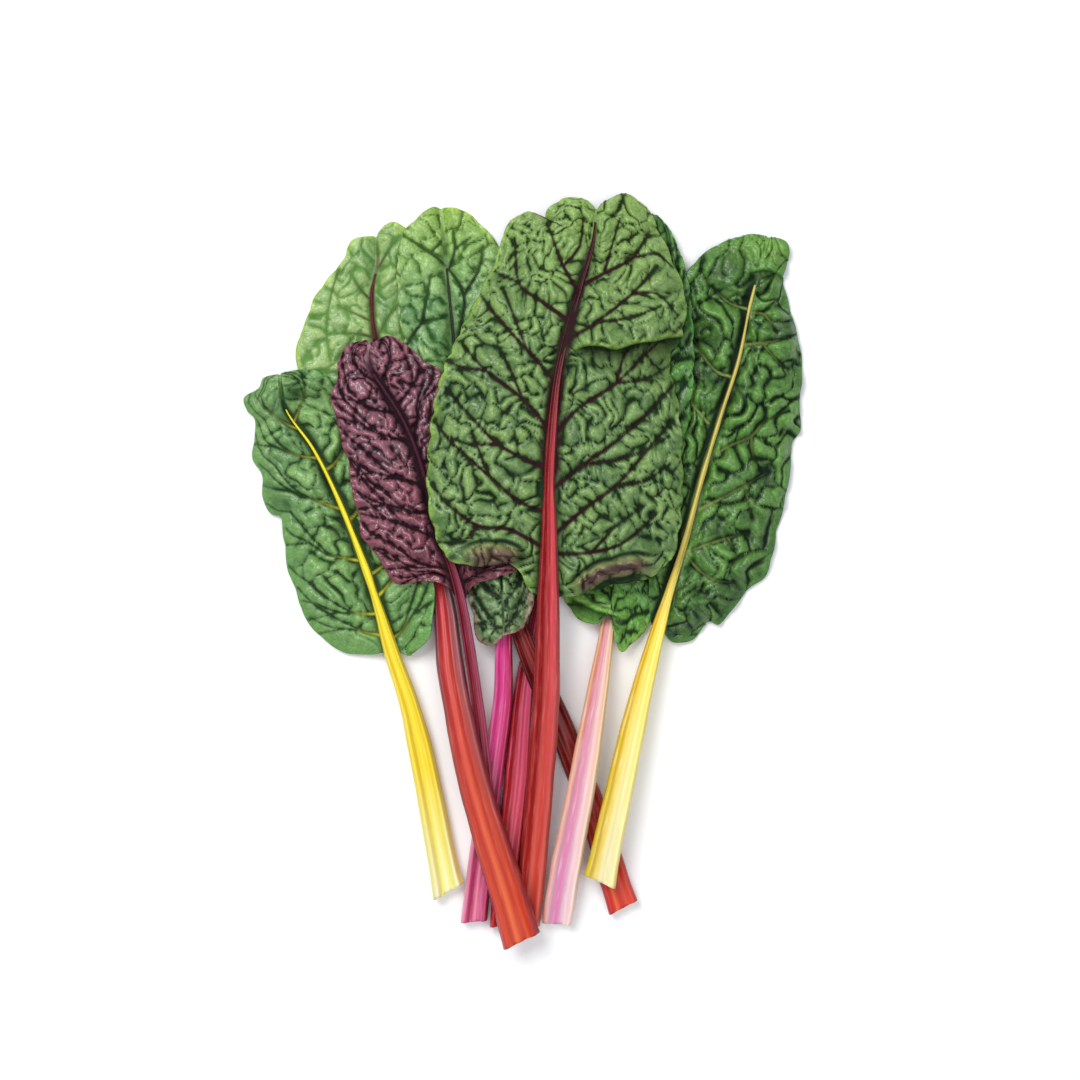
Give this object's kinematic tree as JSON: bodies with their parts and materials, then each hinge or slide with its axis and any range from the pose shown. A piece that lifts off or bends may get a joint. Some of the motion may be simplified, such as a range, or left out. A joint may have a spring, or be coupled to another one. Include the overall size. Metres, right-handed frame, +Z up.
{
  "type": "swiss chard bunch",
  "caption": "Loose bunch of cut rainbow chard leaves lying flat, with red, pink and yellow stalks and puckered green and purple blades.",
  "frame": {"origin": "on the surface that the bunch lies on, below the middle of its outline", "axes": "+Y from the cut ends of the stalks towards the tips of the leaves, +Z up from the surface, +X to the right when the leaf tips point away"},
  "size_m": [0.2784, 0.3706, 0.0338],
  "materials": {
    "left_yellow_stalk": "satin",
    "left_yellow_blade": "satin",
    "front_red_stalk": "satin",
    "front_red_blade": "satin",
    "slanting_red_stalk": "satin",
    "slanting_red_blade": "satin",
    "pink_stalk": "satin",
    "pink_blade": "satin",
    "white_pink_stalk": "satin",
    "white_pink_blade": "satin",
    "right_yellow_stalk": "satin",
    "right_yellow_blade": "satin",
    "magenta_stalk": "satin",
    "magenta_blade": "satin",
    "purple_stalk": "satin",
    "purple_blade": "satin",
    "central_stalk": "satin",
    "central_blade": "satin"
  },
  "bodies": {
    "root": {"left_yellow_stalk": "left_yellow_stalk", "left_yellow_blade": "left_yellow_blade", "front_red_stalk": "front_red_stalk", "front_red_blade": "front_red_blade", "slanting_red_stalk": "slanting_red_stalk", "slanting_red_blade": "slanting_red_blade", "pink_stalk": "pink_stalk", "pink_blade": "pink_blade", "white_pink_stalk": "white_pink_stalk", "white_pink_blade": "white_pink_blade", "right_yellow_stalk": "right_yellow_stalk", "right_yellow_blade": "right_yellow_blade", "magenta_stalk": "magenta_stalk", "magenta_blade": "magenta_blade", "purple_stalk": "purple_stalk", "purple_blade": "purple_blade", "central_stalk": "central_stalk", "central_blade": "central_blade"}
  },
  "joints": []
}
